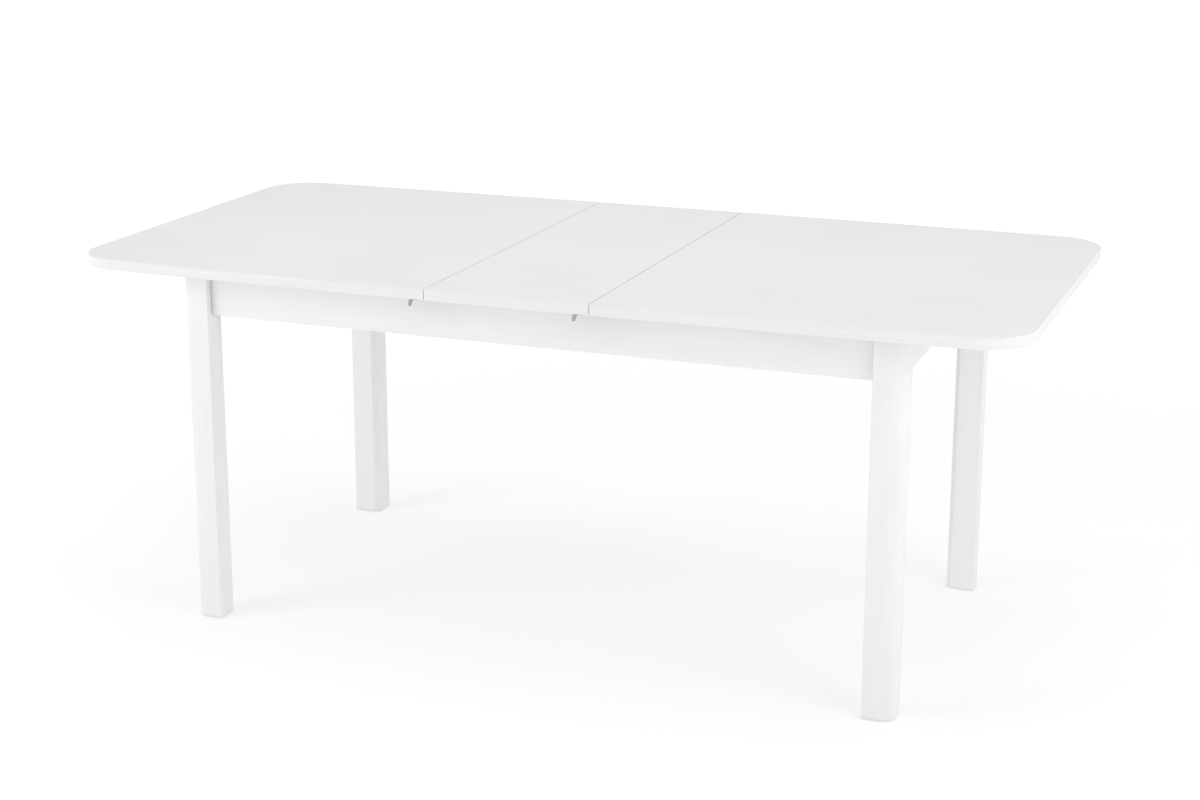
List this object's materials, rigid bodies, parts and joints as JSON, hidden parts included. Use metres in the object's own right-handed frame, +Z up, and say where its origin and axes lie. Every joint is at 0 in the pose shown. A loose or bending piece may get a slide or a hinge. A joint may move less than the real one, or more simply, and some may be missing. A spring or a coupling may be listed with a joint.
{
  "type": "extendable dining table",
  "caption": "White extendable dining table: fixed square-leg frame, two sliding top halves, a lift-out middle leaf and swing-hook leaf locks underneath.",
  "frame": {"origin": "on the floor, at the centre of the table's plan", "axes": "+Z up, +X along the table's length, -Y towards the front long side"},
  "size_m": [1.9, 0.922, 0.755],
  "materials": {
    "laminate_white": "white melamine on particle board, fine satin texture",
    "edge_band_white": "white plastic edge banding with a faint lengthwise grain",
    "lacquer_white": "satin white lacquer on wood",
    "beech": "plain sanded hardwood",
    "aluminium": "mill-finish extrusion",
    "nylon_black": "black slide plastic",
    "glide_grey": "grey furniture glide",
    "zinc_steel": "zinc-plated steel"
  },
  "bodies": {
    "frame": {"leg_front_left": "lacquer_white", "leg_front_right": "lacquer_white", "leg_back_left": "lacquer_white", "leg_back_right": "lacquer_white", "apron_front": "lacquer_white", "apron_back": "lacquer_white", "apron_left": "lacquer_white", "apron_right": "lacquer_white", "corner_block_front_left": "beech", "corner_block_front_right": "beech", "corner_block_back_left": "beech", "corner_block_back_right": "beech", "hanger_bolt_front_left": "zinc_steel", "hanger_bolt_front_right": "zinc_steel", "hanger_bolt_back_left": "zinc_steel", "hanger_bolt_back_right": "zinc_steel", "glide_front_left": "glide_grey", "glide_front_right": "glide_grey", "glide_back_left": "glide_grey", "glide_back_right": "glide_grey", "guide_rail_front": "aluminium", "guide_rail_back": "aluminium", "crossbar_left": "beech", "crossbar_right": "beech"},
    "top_left": {"board_left": "laminate_white", "edge_band_left": "edge_band_white", "runner_front_left": "aluminium", "runner_back_left": "aluminium", "slide_strip_front_left": "nylon_black", "slide_strip_back_left": "nylon_black", "batten_left": "beech", "leaf_plate_front_left": "zinc_steel", "leaf_plate_back_left": "zinc_steel", "lock_base_front_left": "zinc_steel", "lock_base_back_left": "zinc_steel"},
    "top_right": {"board_right": "laminate_white", "edge_band_right": "edge_band_white", "runner_front_right": "aluminium", "runner_back_right": "aluminium", "slide_strip_front_right": "nylon_black", "slide_strip_back_right": "nylon_black", "batten_right": "beech", "leaf_plate_front_right": "zinc_steel", "leaf_plate_back_right": "zinc_steel", "lock_catch_front_right": "zinc_steel", "lock_catch_back_right": "zinc_steel"},
    "leaf": {"board_leaf": "laminate_white", "edge_band_leaf": "edge_band_white", "lock_catch_front_left": "zinc_steel", "lock_catch_back_left": "zinc_steel", "lock_base_front_right": "zinc_steel", "lock_base_back_right": "zinc_steel"},
    "lever_front_left": {"lock_lever_front_left": "zinc_steel"},
    "lever_back_left": {"lock_lever_back_left": "zinc_steel"},
    "lever_front_right": {"lock_lever_front_right": "zinc_steel"},
    "lever_back_right": {"lock_lever_back_right": "zinc_steel"}
  },
  "joints": [
    {"name": "top_left_slide", "type": "slide", "parent": "frame", "child": "top_left", "axis": [-1, 0, 0], "range_m": [0, 0.165]},
    {"name": "top_right_slide", "type": "slide", "parent": "frame", "child": "top_right", "axis": [1, 0, 0], "range_m": [0, 0.165]},
    {"name": "leaf_lift", "type": "slide", "parent": "frame", "child": "leaf", "axis": [0, 0, 1], "range_m": [0, 0.3]},
    {"name": "lever_front_left_swing", "type": "hinge", "parent": "top_left", "child": "lever_front_left", "pos_m": [-0.19, -0.43, 0.73], "axis": [0, 0, -1], "range_deg": [0, 80]},
    {"name": "lever_back_left_swing", "type": "hinge", "parent": "top_left", "child": "lever_back_left", "pos_m": [-0.19, 0.43, 0.73], "axis": [0, 0, 1], "range_deg": [0, 80]},
    {"name": "lever_front_right_swing", "type": "hinge", "parent": "leaf", "child": "lever_front_right", "pos_m": [0.14, -0.43, 0.73], "axis": [0, 0, -1], "range_deg": [0, 80]},
    {"name": "lever_back_right_swing", "type": "hinge", "parent": "leaf", "child": "lever_back_right", "pos_m": [0.14, 0.43, 0.73], "axis": [0, 0, 1], "range_deg": [0, 80]}
  ]
}
